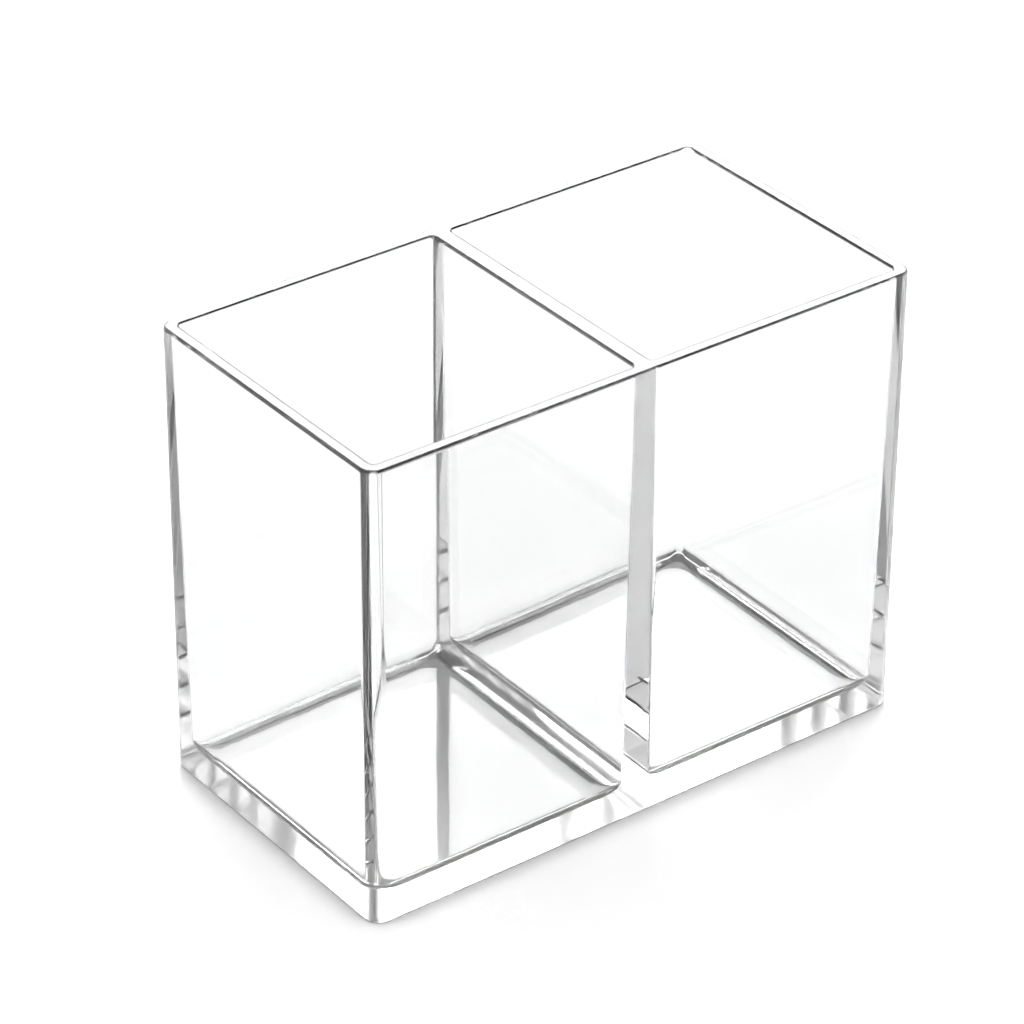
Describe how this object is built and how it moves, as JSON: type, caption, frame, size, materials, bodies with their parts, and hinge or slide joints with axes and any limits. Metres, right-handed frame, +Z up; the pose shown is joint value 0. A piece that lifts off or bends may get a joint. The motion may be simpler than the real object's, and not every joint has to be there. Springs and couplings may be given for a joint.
{
  "type": "makeup brush holder",
  "caption": "Open-topped clear acrylic box on a thick base, split by a divider into equal compartments that hold makeup brushes upright.",
  "frame": {"origin": "on the resting plane, under the middle of the box", "axes": "+X along the long side, from one compartment to the other; +Y from the front to the back; +Z up"},
  "size_m": [0.152, 0.0816, 0.118],
  "materials": {
    "clear_acrylic": "polished clear acrylic"
  },
  "bodies": {
    "root": {"base_panel": "clear_acrylic", "front_panel": "clear_acrylic", "back_panel": "clear_acrylic", "left_panel": "clear_acrylic", "right_panel": "clear_acrylic", "divider_panel": "clear_acrylic"}
  },
  "joints": []
}
